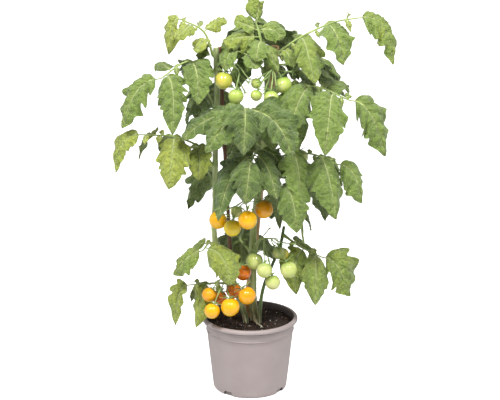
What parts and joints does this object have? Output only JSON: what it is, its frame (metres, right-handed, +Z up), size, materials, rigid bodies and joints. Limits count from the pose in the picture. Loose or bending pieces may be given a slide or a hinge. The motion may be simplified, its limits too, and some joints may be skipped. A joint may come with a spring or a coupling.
{
  "type": "cherry tomato plant in a pot",
  "caption": "Cherry tomato plant in a notched nursery pot, with drooping compound leaves, hanging trusses of ripe and unripe fruit, a wooden stake and a thin cane.",
  "frame": {"origin": "middle of the flat underside of the pot, on the pot's axis", "axes": "+Z up along the pot's axis; -Y is the front, the side that most of the fruit hangs on; +X is the viewer's right"},
  "size_m": [0.3589, 0.2388, 0.5296],
  "materials": {
    "pot": "satin",
    "soil": "matte",
    "wooden_stake": "matte",
    "cane": "satin",
    "stem": "matte",
    "leaf": "satin",
    "fruit_ripe": "gloss",
    "fruit_unripe": "gloss"
  },
  "bodies": {
    "root": {"cane": "cane", "leaf_back_left": "leaf", "leaf_back_left_low": "leaf", "leaf_back_low": "leaf", "leaf_back_middle": "leaf", "leaf_back_right": "leaf", "leaf_back_right_low": "leaf", "leaf_back_top": "leaf", "leaf_crown": "leaf", "leaf_front_lower": "leaf", "leaf_front_middle": "leaf", "leaf_front_upper": "leaf", "leaf_left_middle": "leaf", "leaf_left_upper": "leaf", "leaf_low_left": "leaf", "leaf_low_right": "leaf", "leaf_over_rim": "leaf", "leaf_right_lower": "leaf", "leaf_right_middle": "leaf", "leaf_top_front": "leaf", "leaf_top_left": "leaf", "leaf_top_right": "leaf", "pot": "pot", "soil": "soil", "stem_left": "stem", "stem_main": "stem", "stem_shoot": "stem", "tomato_low_left_1": "fruit_ripe", "tomato_low_left_2": "fruit_ripe", "tomato_low_left_3": "fruit_ripe", "tomato_low_left_4": "fruit_ripe", "tomato_low_left_5": "fruit_ripe", "tomato_low_left_6": "fruit_ripe", "tomato_low_left_7": "fruit_ripe", "tomato_low_right_1": "fruit_unripe", "tomato_low_right_2": "fruit_unripe", "tomato_low_right_3": "fruit_unripe", "tomato_low_right_4": "fruit_unripe", "tomato_low_right_5": "fruit_unripe", "tomato_low_right_6": "fruit_unripe", "tomato_middle_1": "fruit_ripe", "tomato_middle_2": "fruit_ripe", "tomato_middle_3": "fruit_ripe", "tomato_middle_4": "fruit_ripe", "tomato_middle_5": "fruit_ripe", "tomato_right_1": "fruit_unripe", "tomato_right_2": "fruit_unripe", "tomato_top_left_1": "fruit_unripe", "tomato_top_left_2": "fruit_unripe", "tomato_top_right_1": "fruit_unripe", "tomato_top_right_2": "fruit_unripe", "tomato_top_right_3": "fruit_unripe", "tomato_top_right_4": "fruit_unripe", "truss_low_left": "stem", "truss_low_right": "stem", "truss_middle": "stem", "truss_right": "stem", "truss_top_left": "stem", "truss_top_right": "stem", "wooden_stake": "wooden_stake"}
  },
  "joints": []
}
